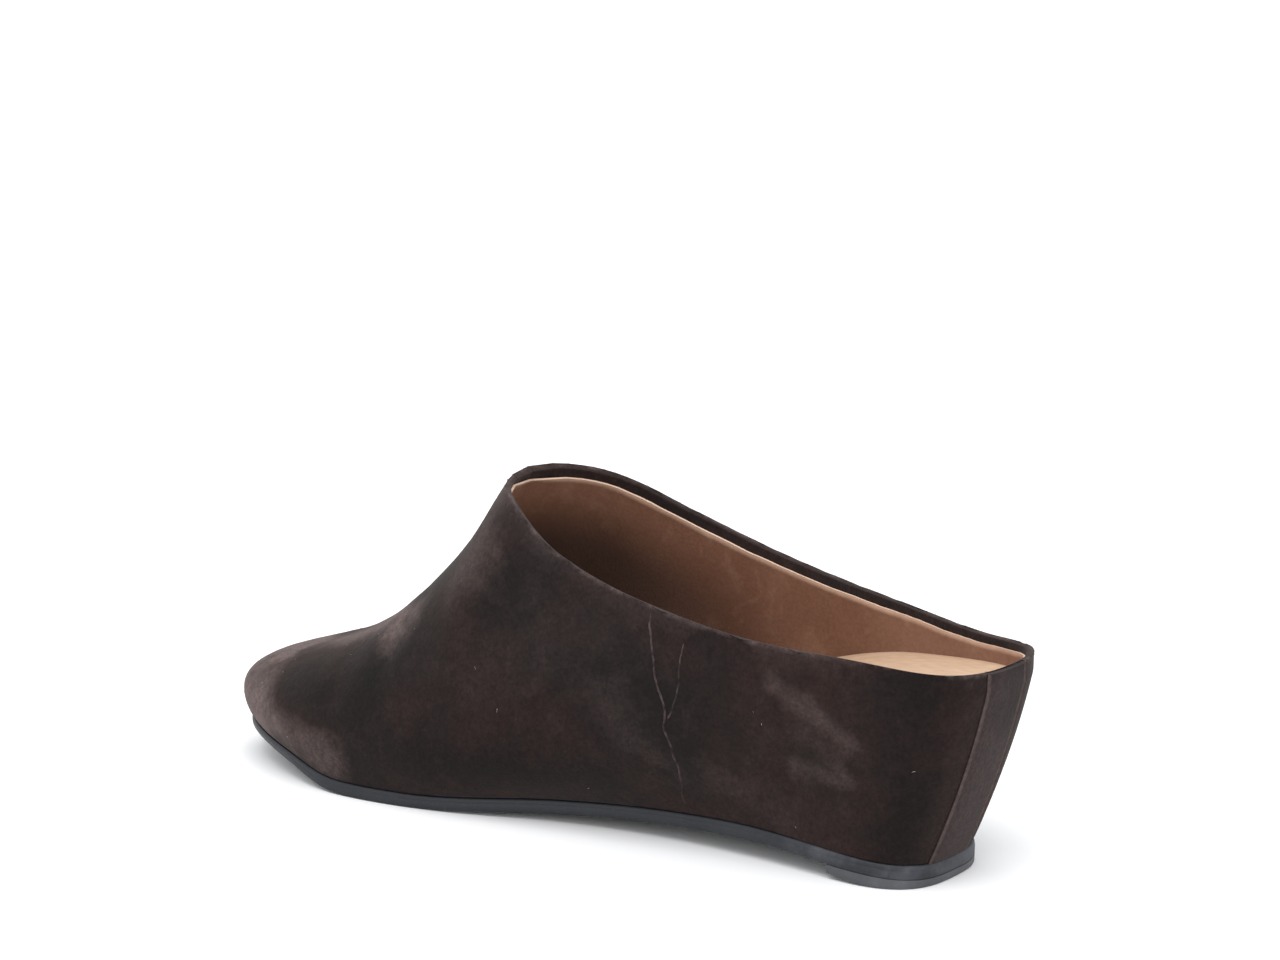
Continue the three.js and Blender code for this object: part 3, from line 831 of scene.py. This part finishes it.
def leather_material(name, deep, base, pale, fineness, edge_colour=None, stretch=1.0):
    """Leather whose pattern may be stretched along the shoe, and whose edge may have its own colour. With an edge
    colour it also gets painted shade deep inside, towards the toe.
    """
    material, tree, shader, where = new_material(name)
    stretched = add(tree, "Mapping", {"Vector": where, "Scale": (1 / stretch, 1, 1)}).outputs[0]
    grain = use(tree, grain_tree, Vector=stretched, Deep=deep, Base=base, Pale=pale, Fineness=fineness)
    colour = grain["Color"]
    if edge_colour:
        forward = add(tree, "SeparateXYZ", {0: where}).outputs["X"]
        distance = add(tree, "Attribute", attribute_name="from_edge").outputs["Fac"]
        below_edge = ramp(tree, distance, 3.0, 26.0)
        # Painted shade: the lining darkens towards the toe and away from its edge, where the throat lies in shadow.
        painted_throat_shade = calc(tree, "MULTIPLY", ramp(tree, forward, -0.05, 0.03), calc(tree, "MULTIPLY", below_edge, 0.85))
        colour = mix(tree, painted_throat_shade, colour, (0.036, 0.0235, 0.021, 1))
        colour = mix(tree, ramp(tree, distance, 0.6, 2.6), edge_colour, colour)
    finish(tree, shader, colour, grain, 0.25, 0.0002, 0.35)
    return material


lining_leather = leather_material("lining_leather", (0.170, 0.078, 0.048, 1), (0.225, 0.115, 0.075, 1),
                                  (0.285, 0.162, 0.112, 1), 1100.0, (0.84, 0.60, 0.46, 1))
insole_leather = leather_material("insole_leather", (0.50, 0.335, 0.22, 1), (0.585, 0.40, 0.275, 1),
                                  (0.68, 0.50, 0.37, 1), 900.0, stretch=3.5)
print("leathers:", lining_leather.name, insole_leather.name)

# %% [markdown]
# ## Lining
#
# The suede is turned over at the collar, and the tan lining starts two to three millimetres inside, with a pale
# folded edge. Its ribs are the suede's own, cut where they come that close to the collar. It could be painted on the
# suede's inside, but the folded edge is thick enough to catch the light, so it has a real thickness.

# %% Lining
LINING_DEPTH = 1.95
LINING_THICKNESS = 0.6
LINING_START = 2.9
LINING_START_AT_HEEL = 1.8
LINING_PUCKER = 0.25
LINING_ROWS = 44

# Places where the edge dips into a small notch, and where it comes up nearly to the collar
NOTCH = Vector((30.6, -8, 90.3))
TURNED_OUT = Vector((27, 15, 92))


def start_of_lining(point):
    """How far from the collar the lining starts, near a point."""
    place = point - MIDDLE
    forward = min(max((place.x + 115) / 110, 0), 1)
    uneven = 0.25 * noise.noise(place * 0.11) + 0.12 * noise.noise(place * 0.5)
    start = LINING_START_AT_HEEL + (LINING_START - LINING_START_AT_HEEL) * forward
    start -= 1.8 * math.exp(-((place - TURNED_OUT).length / 17) ** 2)
    return start + uneven + 0.8 * math.exp(-((place - NOTCH).length / 3) ** 2)


def clear_of_collar(point):
    return collar_tree.find(point)[2] - start_of_lining(point)


def trimmed(points, station):
    """Length of a rib up to the lining's edge."""
    lengths = lengths_along(points)
    if station >= lining_throat:
        return lengths[-1]
    top = len(points) - 1
    while top > 1 and clear_of_collar(points[top]) < 0:
        top -= 1
    low, high = 0, 1
    for _ in range(12):
        half = (low + high) / 2
        if clear_of_collar(points[top].lerp(points[min(top + 1, len(points) - 1)], half)) < 0:
            high = half
        else:
            low = half
    upper = min(top + 1, len(points) - 1)
    return lengths[top] + (lengths[upper] - lengths[top]) * low


lining_throat = throat_station
while clear_of_collar(raw_rib(1, lining_throat)[-1]) < 0:
    lining_throat += 0.0004
lining_stations = [*stations_between(0, lining_throat, 84), *stations_between(lining_throat, 1, 40)[1:]]
lining_ring = ring_of(lining_stations, LINING_ROWS, 1, trimmed)
lining_skin = with_normals(lining_ring, lining_throat)


def lining_place(depth, pucker):
    def place(column, row):
        point, normal = lining_skin[column % len(lining_ring)][row]
        wave = noise.noise((point - MIDDLE) * 0.07) + 0.4 * noise.noise((point - MIDDLE) * 0.25)
        inside = min(1, (LINING_ROWS - row) / 6)
        return point - normal * (depth + pucker * inside * (0.5 + 0.5 * wave))
    return place


lining_bm, lining_loops = shell_of(
    lining_place(LINING_DEPTH, 0), lining_place(LINING_DEPTH + LINING_THICKNESS, LINING_PUCKER),
    len(lining_ring) + 1, LINING_ROWS + 1, 0.2, 2)
mark_distance(lining_bm, "from_edge", lambda point: max(0, clear_of_collar(point)))
lining = piece_from(lining_bm, "lining", lining_leather, 60)
print("open edges joined:", lining_loops)
print("lining starts ahead of the throat by", round((lining_throat - throat_station) * SHOE_LENGTH, 1), "mm")

# %% [markdown]
# ## Strap over the back seam
#
# A narrow strap of the same suede covers the seam at the back. It lies in a shallow seat and stands a little proud,
# so both its edges show as fine lines. The strap is a bent grid given its thickness by a second one, and its edges
# are bevelled.

# %% Back strap
def rubbed_and_highlit_sides(tree):
    """The strap's two long edges are scuffed lighter, with a painted highlight along them where they stand proud."""
    distance = add(tree, "Attribute", attribute_name="from_side").outputs["Fac"]
    return calc(tree, "MULTIPLY", turned_over(tree, ramp(tree, distance, 0.2, 1.3)), 0.8)


strap_suede = suede_material("strap_suede", rubbed_and_highlit_sides, (0.029, 0.0195, 0.0195, 1))
STRAP_ROWS = 44
outer_end, inner_end = strap_end(-1, 0.24), strap_end(1, 0.24)
outer_inset, inner_inset = strap_end(-1, -0.5), strap_end(1, -0.5)
strap_line = ([(-1, outer_end)] + [(-1, station) for station in stations_between(0, outer_inset, 6)[:0:-1]]
              + [(1, station) for station in stations_between(0, inner_inset, 9)] + [(1, inner_end)])
strap_ribs = [respaced(raw_rib(side, station), lengths_along(raw_rib(side, station))[-1], STRAP_ROWS, 1)
              for side, station in strap_line]


def strap_place(depth):
    def place(column, row):
        point = strap_ribs[column][row]
        along = strap_ribs[min(column + 1, len(strap_ribs) - 1)][row] - strap_ribs[max(column - 1, 0)][row]
        up = strap_ribs[column][min(row + 1, STRAP_ROWS)] - strap_ribs[column][max(row - 1, 0)]
        normal = up.cross(along).normalized()
        if row == 0:
            normal.z = 0
            normal.normalize()
        return point - normal * depth
    return place


def plate_of(bm, columns, rows, outside, inside):
    """A bent plate from its two faces, joined round their edges."""
    bent_grid(bm, columns, rows, outside)
    bent_grid(bm, columns, rows, inside)
    loops = open_loops(bm)
    outer_rim = max(loops, key=lambda loop: sum(edge.calc_length() for edge in loop))
    bmesh.ops.bridge_loops(bm, edges=loops[0] + loops[1])
    return outer_rim


strap_bm = bmesh.new()
strap_rim = plate_of(strap_bm, len(strap_ribs), STRAP_ROWS + 1, strap_place(-STRAP_STAND),
                     strap_place(STRAP_THICKNESS - STRAP_STAND))
bmesh.ops.bevel(strap_bm, geom=strap_rim, affect="EDGES", offset=0.35 * MM, offset_type="OFFSET", segments=2,
                profile=0.5, material=-1, clamp_overlap=True)
strap_sides = KDTree(2 * (STRAP_ROWS + 1))
for number, rib_points in enumerate((strap_ribs[0], strap_ribs[-1])):
    for row, point in enumerate(rib_points):
        strap_sides.insert(point, number * (STRAP_ROWS + 1) + row)
strap_sides.balance()
mark_distance(strap_bm, "from_side", lambda point: strap_sides.find(point)[2])
back_strap = piece_from(strap_bm, "suede_back_strap", strap_suede, 50)
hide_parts("back_strap")
print("strap is", round(sum((b[20] - a[20]).length for a, b in zip(strap_ribs, strap_ribs[1:])), 1), "mm wide")

# %% [markdown]
# ## Side seams
#
# On the inner side the suede is joined in a seam like a Y, with a short arm to the collar and a stem down to the
# sole. The edges butt together and the thread pulls them up into a thin ridge, which has rubbed lighter. Each arm is
# a slim half-round bead that follows the wall: a grid is bent round the line and its ends taper to nothing. The
# same arms are mirrored to the outer side, where they come to lie on the inner face of the suede and don't show.

# %% Side seams
def rubbed_thread(tree):
    """The ridge is scuffed lighter here and there."""
    patchy = noise_of(tree, tree.nodes["Texture Coordinate"].outputs["Object"], 260, Detail=4)
    return calc(tree, "MULTIPLY", ramp(tree, patchy, 0.35, 0.7), 0.6)


seam_suede = suede_material("seam_suede", rubbed_thread, (0.026, 0.0175, 0.0165, 1))
upper_tree = BVHTree.FromPolygons([vertex.co / MM for vertex in suede_upper.data.vertices],
                                  [tuple(face.vertices) for face in suede_upper.data.polygons])

# Points in millimetres from the middle, then the bead's half width and height
SEAM_ARMS = (
    (((-32, 29.4, 67.6), (-32.6, 29.8, 62.5), (-33.3, 30.2, 58), (-34.2, 30.4, 52.9), (-34.8, 30.5, 48.7),
      (-36.7, 30.5, 44.3), (-38, 30.3, 40.5), (-37.8, 30.1, 36.5), (-38.7, 29.4, 32.8), (-39.4, 28, 28.2),
      (-40.1, 26.6, 23.8), (-39.7, 25.1, 19.1), (-39, 23.4, 14.7), (-38.6, 22, 10.8)), 0.36, 0.2),
    (((-43.6, 29.1, 61.1), (-42.6, 29.3, 57.8), (-42.3, 29.5, 53.4), (-41.9, 29.7, 47.8), (-41, 29.9, 43.3),
      (-39.3, 30.1, 39.7), (-38, 30.1, 37)), 0.3, 0.1),
)
OUTER_SIDE = Vector((1, -1, 1))
BEAD_SIDES = 8


def smooth_line(points, spacing=0.8):
    """The points joined by a smooth curve, with points an even step apart."""
    points = [Vector(point) for point in points]
    ends = [points[0] * 2 - points[1], *points, points[-1] * 2 - points[-2]]
    line = []
    for before, start, end, after in zip(ends, ends[1:], ends[2:], ends[3:]):
        for i in range(12):
            t = i / 12
            line.append(0.5 * (2 * start + (end - before) * t + (2 * before - 5 * start + 4 * end - after) * t * t
                               + (3 * start - before - 3 * end + after) * t**3))
    line.append(points[-1])
    length = lengths_along(line)[-1]
    return respaced(line, length, max(4, round(length / spacing)), 1)


def add_bead(bm, line, half_width, height):
    """A slim ridge along a line on the suede."""
    path, normals = [], []
    for number, point in enumerate(line):
        kinked = point + Vector((0.5, 0, 0.2)) * noise.noise(point * 0.25) + Vector((0.15, 0, 0)) * noise.noise(point)
        spot, normal, _, _ = upper_tree.find_nearest(kinked)
        path.append(spot)
        normals.append(normal)
    final = len(path) - 1

    def place(column, row):
        along = (path[min(column + 1, final)] - path[max(column - 1, 0)]).normalized()
        across = normals[column].cross(along).normalized()
        angle = 2 * math.pi * row / BEAD_SIDES
        taper = min(1, column / 3, (final - column) / 3)
        swell = taper * (1 + 0.25 * noise.noise(path[column] * 0.9))
        return (path[column] + across * math.cos(angle) * half_width * swell
                + normals[column] * (math.sin(angle) * height * swell - 0.06) + MIDDLE)

    bent_grid(bm, len(path), BEAD_SIDES + 1, place)


seam_bm = bmesh.new()
for arm, half_width, height in SEAM_ARMS:
    add_bead(seam_bm, smooth_line(arm), half_width, height)
    add_bead(seam_bm, smooth_line([Vector(point) * OUTER_SIDE - Vector((0, 3, 0)) for point in arm]),
             half_width, height)
close_seams(seam_bm)
side_seams = piece_from(seam_bm, "side_seams", seam_suede, 80)

# %% [markdown]
# ## Footbed
#
# The footbed is a board covered with light tan leather, slightly hollowed for the heel. It reaches the lining all
# round, so its outline is worked out from the lining's own ribs. A flat plate with a bend could do, but the hollow
# and the soft rolled edge are what make it look like something a foot has stood on.

# %% Footbed
FOOTBED_ACROSS = 20
FOOTBED_DEPTH = LINING_DEPTH + LINING_THICKNESS - 0.05
lining_faces = [[point - normal * FOOTBED_DEPTH for point, normal in column] for column in lining_skin]


def at_height(line, height):
    for below, above in zip(line, line[1:]):
        if above.z >= height:
            return below.lerp(above, min(max((height - below.z) / max(above.z - below.z, 1e-6), 0), 1))
    return line[-1].copy()


def footbed_point(station_index, across, drop):
    station = lining_stations[station_index]
    height = footbed(station) - drop
    inner = at_height(lining_faces[station_index], height)
    outer = at_height(lining_faces[-station_index % len(lining_faces)], height)
    share = math.sin(math.pi * (across / FOOTBED_ACROSS - 0.5))
    breadth = min(1, (inner - outer).length / (FULL_DISH_WIDTH * BALL_WIDTH))
    dish = INSOLE_DISH * min(1, max(0, last("wedge", station)) * 2)
    point = outer.lerp(inner, (1 + share) / 2)
    edge_fall = 0.6 * max(0, abs(share) - 0.93) / 0.07 * breadth
    wear = 0.12 * noise.noise((point - MIDDLE) * 0.06) * breadth
    point.z += wear - dish * breadth * (1 - share**2) - edge_fall
    return point


footbed_bm = bmesh.new()
for drop in (0, INSOLE_THICKNESS - 0.2):
    bent_grid(footbed_bm, len(lining_stations), FOOTBED_ACROSS + 1,
              lambda column, row, drop=drop: footbed_point(column, row, drop))
close_seams(footbed_bm)
footbed_loops = open_loops(footbed_bm)
bmesh.ops.bridge_loops(footbed_bm, edges=footbed_loops[0] + footbed_loops[1])
footbed_piece = piece_from(footbed_bm, "footbed", insole_leather, 50)
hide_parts("insole")

# %% [markdown]
# ## Rubber
#
# Dark rubber is never quite black: dust lies in its fine texture, and its cut sides are a little paler than its
# skin. The group mixes both over a fine grain. Sole and heel lift share it.

# %% Rubber grain group and finish
rubber_tree, rubber_in, rubber_out = group(
    "Rubber grain",
    [("Vector", "Vector", None), ("Skin", "Color", (0.02, 0.02, 0.02, 1)), ("Dust", "Color", (0.08, 0.08, 0.09, 1)),
     ("Dusty", "Float", 0.3)],
    [("Color", "Color"), ("Roughness", "Float"), ("Height", "Float")],
)
stipple = noise_of(rubber_tree, rubber_in["Vector"], 1400, Detail=2)
blotches = noise_of(rubber_tree, rubber_in["Vector"], 60, Detail=4, Roughness=0.6)
dusty = calc(rubber_tree, "MULTIPLY", ramp(rubber_tree, blotches, 0.35, 0.7), rubber_in["Dusty"])
dusty = calc(rubber_tree, "ADD", dusty, calc(rubber_tree, "MULTIPLY", ramp(rubber_tree, stipple, 0.55, 0.8), 0.15))
rubber_roughness = add(rubber_tree, "MapRange", {"Value": dusty, "To Min": 0.5, "To Max": 0.8}).outputs[0]
rubber_tree.links.new(mix(rubber_tree, dusty, rubber_in["Skin"], rubber_in["Dust"]), rubber_out["Color"])
rubber_tree.links.new(rubber_roughness, rubber_out["Roughness"])
rubber_tree.links.new(stipple, rubber_out["Height"])


def rubber_material(name, skin, dust, how_dusty, dusty_heel=0.0):
    """Rubber whose dust grows thicker under the heel by the last number."""
    material, tree, shader, where = new_material(name)
    forward = add(tree, "SeparateXYZ", {0: where}).outputs["X"]
    at_heel = calc(tree, "MULTIPLY", turned_over(tree, ramp(tree, forward, -0.095, -0.06)), dusty_heel)
    grain = use(tree, rubber_tree, Vector=where, Skin=skin, Dust=dust, Dusty=calc(tree, "ADD", how_dusty, at_heel))
    finish(tree, shader, grain["Color"], grain, 0.35, 0.0002, 0.4)
    return material


sole_rubber = rubber_material("sole_rubber", (0.008, 0.009, 0.0135, 1), (0.085, 0.088, 0.102, 1), 0.07, 0.8)
lift_rubber = rubber_material("lift_rubber", (0.05, 0.051, 0.058, 1), (0.13, 0.132, 0.145, 1), 0.55)
print("rubbers:", sole_rubber.name, lift_rubber.name)

# %% [markdown]
# ## Sole and heel lift
#
# The rubber sole is a flat band that follows the last, lifts off the floor at the toe and arches between heel and
# ball. A faint groove runs round its side below the suede, as if it were laid up in two sheets. The lift is a thin
# slip of harder rubber under the heel, flat on the floor at the back and rising a little to its front edge. The
# sole could be cut from a flat sheet and bent, but its edge is shaped as it stands. Both are bands bent round the
# sole's outline and closed above and below.

# %% Sole and heel lift
SOLE_STEPS = 130
LIFT_STEPS = 40
SOLE_ACROSS = 14
SOLE_SIDE = ((0.3, 0), (0.5, 0.12), (0.6, 0.35), (0.6, 2.3), (0.54, 2.4), (0.54, 2.5), (0.58, 2.62), (0.42, 3.4),
             (0.25, 3.7), (0, 3.85))
LIFT_SIDE = ((0.05, 0), (0.35, 0.1), (0.55, 0.3), (0.6, 0.55), (0.6, 0.97), (0.5, 1))


def sole_block(stations, profile, height, across):
    """A flat piece round the sole's outline. The profile's rows are a margin and a rise for the height."""
    bm = bmesh.new()
    around = [(-1, station) for station in stations[::-1]] + [(1, station) for station in stations[1:]]

    def edge(side, station, row):
        margin, rise = profile[row]
        plan = sole_edge(side, station, margin)
        return Vector((plan.x, plan.y, height(station, rise)))

    def crossing(station, row, share):
        return edge(-1, station, row).lerp(edge(1, station, row), share)

    top = len(profile) - 1
    bent_grid(bm, len(around), top + 1, lambda column, row: edge(*around[column], row))
    for level in (0, top):
        bent_grid(bm, len(stations), across + 1,
                  lambda column, row, level=level: crossing(stations[column], level, row / across))
    if stations[-1] < 1:
        bent_grid(bm, across + 1, top + 1, lambda column, row: crossing(stations[-1], row, column / across))
    close_seams(bm)
    return bm


def sole_height(station, rise):
    return outsole_foot(station) + rise * sole_thickness(station) / OUTSOLE_THICKNESS


def lift_height(station, rise):
    return lift_foot(station) + rise * (outsole_foot(station) - 0.05 - lift_foot(station))


outsole = piece_from(sole_block(stations_between(0, 1, SOLE_STEPS), SOLE_SIDE, sole_height, SOLE_ACROSS),
                     "rubber_sole", sole_rubber, 40)
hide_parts("outsole")
heel_lift = piece_from(sole_block(stations_between(0, LIFT_REACH, LIFT_STEPS), LIFT_SIDE, lift_height, SOLE_ACROSS),
                       "rubber_heel_lift", lift_rubber, 40)
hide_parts("heel_lift")

# %% [markdown]
# ## Fuzz and lint
#
# The cut edge of suede is fuzzy, and worn suede picks up short pale fibres. Neither could be a texture, because both
# stand off the surface and break the outline. Each fibre is a three-sided cone a fraction of a millimetre long, so
# hundreds of them cost little. A fixed seed puts them in the same places every time.

# %% Fuzz and lint
FUZZ_FIBRES = 2000
LINT_FIBRES = 90
FUZZ_REACH = 1.1
LINT_CLEAR_OF_RIM = 3
LINT_STAND = 0.00006
chance = random.Random(11)


def add_fibre(bm, foot_point, direction, length, radius):
    """A thin cone from a point, given in metres, along a direction."""
    turn = direction.to_track_quat("Z", "Y").to_matrix().to_4x4()
    place = Matrix.Translation(foot_point + direction * length * 0.45) @ turn
    bmesh.ops.create_cone(bm, cap_ends=True, segments=3, radius1=radius, radius2=radius * 0.35, depth=length,
                          matrix=place)


def any_direction():
    return Vector([chance.uniform(-1, 1) for _ in range(3)]).normalized()


rim_marks = suede_upper.data.attributes["from_rim"].data
rim_vertices = [vertex for vertex in suede_upper.data.vertices if rim_marks[vertex.index].value < FUZZ_REACH]
fuzz_bm = bmesh.new()
for _ in range(FUZZ_FIBRES):
    vertex = chance.choice(rim_vertices)
    slide = any_direction() * chance.uniform(0, 0.5) * MM
    lean = (vertex.normal + any_direction() * 0.8).normalized()
    slide -= vertex.normal * slide.dot(vertex.normal)
    add_fibre(fuzz_bm, vertex.co + slide, lean, chance.uniform(0.3, 0.75) * MM, chance.uniform(0.02, 0.035) * MM)
edge_fuzz = piece_from(fuzz_bm, "edge_fuzz", suede, 80)

lint_material, lint_nodes, lint_shader, lint_where = new_material("lint")
lint_shades = noise_of(lint_nodes, lint_where, 300)
link(lint_nodes, mix(lint_nodes, lint_shades, (0.2, 0.17, 0.16, 1), (0.62, 0.58, 0.55, 1)), lint_shader, "Base Color")
lint_shader.inputs["Roughness"].default_value = 0.9
outside_faces = [face for face in suede_upper.data.polygons
                 if face.center.z > 0.012 and rim_marks[face.vertices[0]].value > LINT_CLEAR_OF_RIM
                 and face.normal.dot(Vector((0, face.center.y, max(0, face.center.z - 0.03)))) > 0]
lint_bm = bmesh.new()
for _ in range(LINT_FIBRES):
    face = chance.choice(outside_faces)
    flat = any_direction()
    flat = (flat - face.normal * flat.dot(face.normal) * 0.9).normalized()
    add_fibre(lint_bm, face.center + face.normal * LINT_STAND, flat, chance.uniform(0.3, 1.1) * MM,
              chance.uniform(0.03, 0.075) * MM)
lint = piece_from(lint_bm, "lint", lint_material, 80)

# %% [markdown]
# ## The wedge
#
# The wedge between sole and footbed is light cork, and the suede covers all of it. Its solid already has the right
# shape, so it stays as it is and only gets a finish: grains of cork of different browns, with dark gaps.

# %% Cork finish
cork, cork_nodes, cork_shader, cork_where = new_material("cork")
cells = add(cork_nodes, "TexVoronoi", {"Vector": cork_where, "Scale": 420.0})
browns = mix(cork_nodes, cells.outputs["Color"], (0.30, 0.17, 0.08, 1), (0.52, 0.34, 0.18, 1))
gaps = ramp(cork_nodes, cells.outputs["Distance"], 0.35, 0.75)
link(cork_nodes, mix(cork_nodes, gaps, browns, (0.14, 0.07, 0.03, 1)), cork_shader, "Base Color")
link(cork_nodes, add(cork_nodes, "Bump", {"Strength": 0.4, "Distance": 0.0003,
                                          "Height": cells.outputs["Distance"]}).outputs[0], cork_shader, "Normal")
cork_shader.inputs["Roughness"].default_value = 0.9
for slot_of_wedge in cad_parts["wedge"].material_slots:
    slot_of_wedge.material = cork
print("wedge finish:", cork.name)

# %% [markdown]
# ## Floor and light
#
# The picture was taken on white paper under a broad soft light, so the floor burns out to white and only a faint
# shadow is left beneath the toe and behind the heel. A white world does most of this, and one large lamp above the
# toe gives the shadow its side. The view is set to plain colours, so that white stays white.

# %% Floor and light
floor_material, floor_nodes, floor_shader, floor_where = new_material("paper")
paper = noise_of(floor_nodes, floor_where, 40)
paper_white = mix(floor_nodes, paper, (0.92, 0.92, 0.925, 1), (0.935, 0.935, 0.94, 1))
link(floor_nodes, paper_white, floor_shader, "Base Color")
floor_shader.inputs["Roughness"].default_value = 0.9
floor_bm = bmesh.new()
bmesh.ops.create_grid(floor_bm, x_segments=8, y_segments=8, size=12)
floor_mesh = bpy.data.meshes.new("floor")
floor_bm.to_mesh(floor_mesh)
floor_bm.free()
floor = bpy.data.objects.new("floor", floor_mesh)
bpy.context.collection.objects.link(floor)
floor_mesh.materials.append(floor_material)

world = bpy.data.worlds.new("white room")
bpy.context.scene.world = world
world.use_nodes = True
world.node_tree.nodes["Background"].inputs[0].default_value = (0.98, 0.99, 1, 1)
world.node_tree.nodes["Background"].inputs[1].default_value = 1.18


def add_lamp(name, place, target, size, power):
    lamp_data = bpy.data.lights.new(name, "AREA")
    lamp_data.size = size
    lamp_data.energy = power
    lamp = bpy.data.objects.new(name, lamp_data)
    bpy.context.collection.objects.link(lamp)
    lamp.location = place
    lamp.rotation_mode = "QUATERNION"
    lamp.rotation_quaternion = (Vector(target) - Vector(place)).to_track_quat("-Z", "Y")
    return lamp


add_lamp("lamp above", (-0.2, 0.5, 1.3), (0, 0, 0.03), 1.0, 10)
add_lamp("low window", (-0.3, 1.6, 0.35), (0, 0, 0.02), 1.2, 4)
bpy.context.scene.view_settings.view_transform = "Standard"
print("lamps:", [light.name for light in bpy.data.lights])
